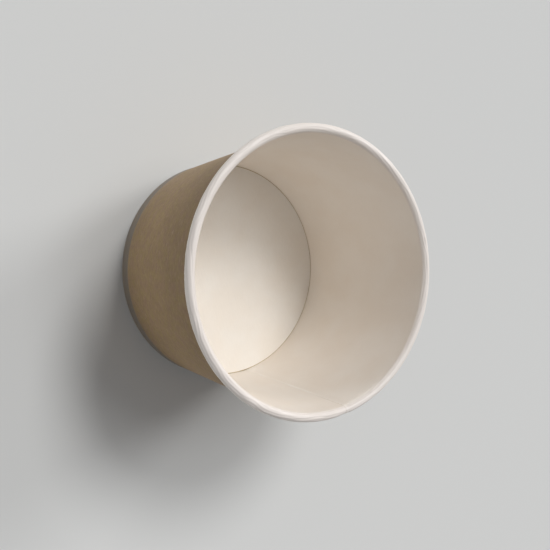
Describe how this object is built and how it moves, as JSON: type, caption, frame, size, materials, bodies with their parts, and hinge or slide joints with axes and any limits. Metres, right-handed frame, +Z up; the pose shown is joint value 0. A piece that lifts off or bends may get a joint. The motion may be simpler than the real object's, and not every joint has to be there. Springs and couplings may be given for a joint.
{
  "type": "paper soup container",
  "caption": "Round, tapered paper soup container of kraft board, white inside, with a rolled rim, a side seam and a recessed flat bottom.",
  "frame": {"origin": "centre of the base, on the plane that the foot stands on", "axes": "+Z up the container's axis towards the mouth; the side seam's inner edge lies at +Y"},
  "size_m": [0.09, 0.09, 0.0615],
  "materials": {
    "kraft_board": "matte",
    "bottom_board": "satin"
  },
  "bodies": {
    "root": {"side_wall": "kraft_board", "bottom_disc": "bottom_board"}
  },
  "joints": []
}
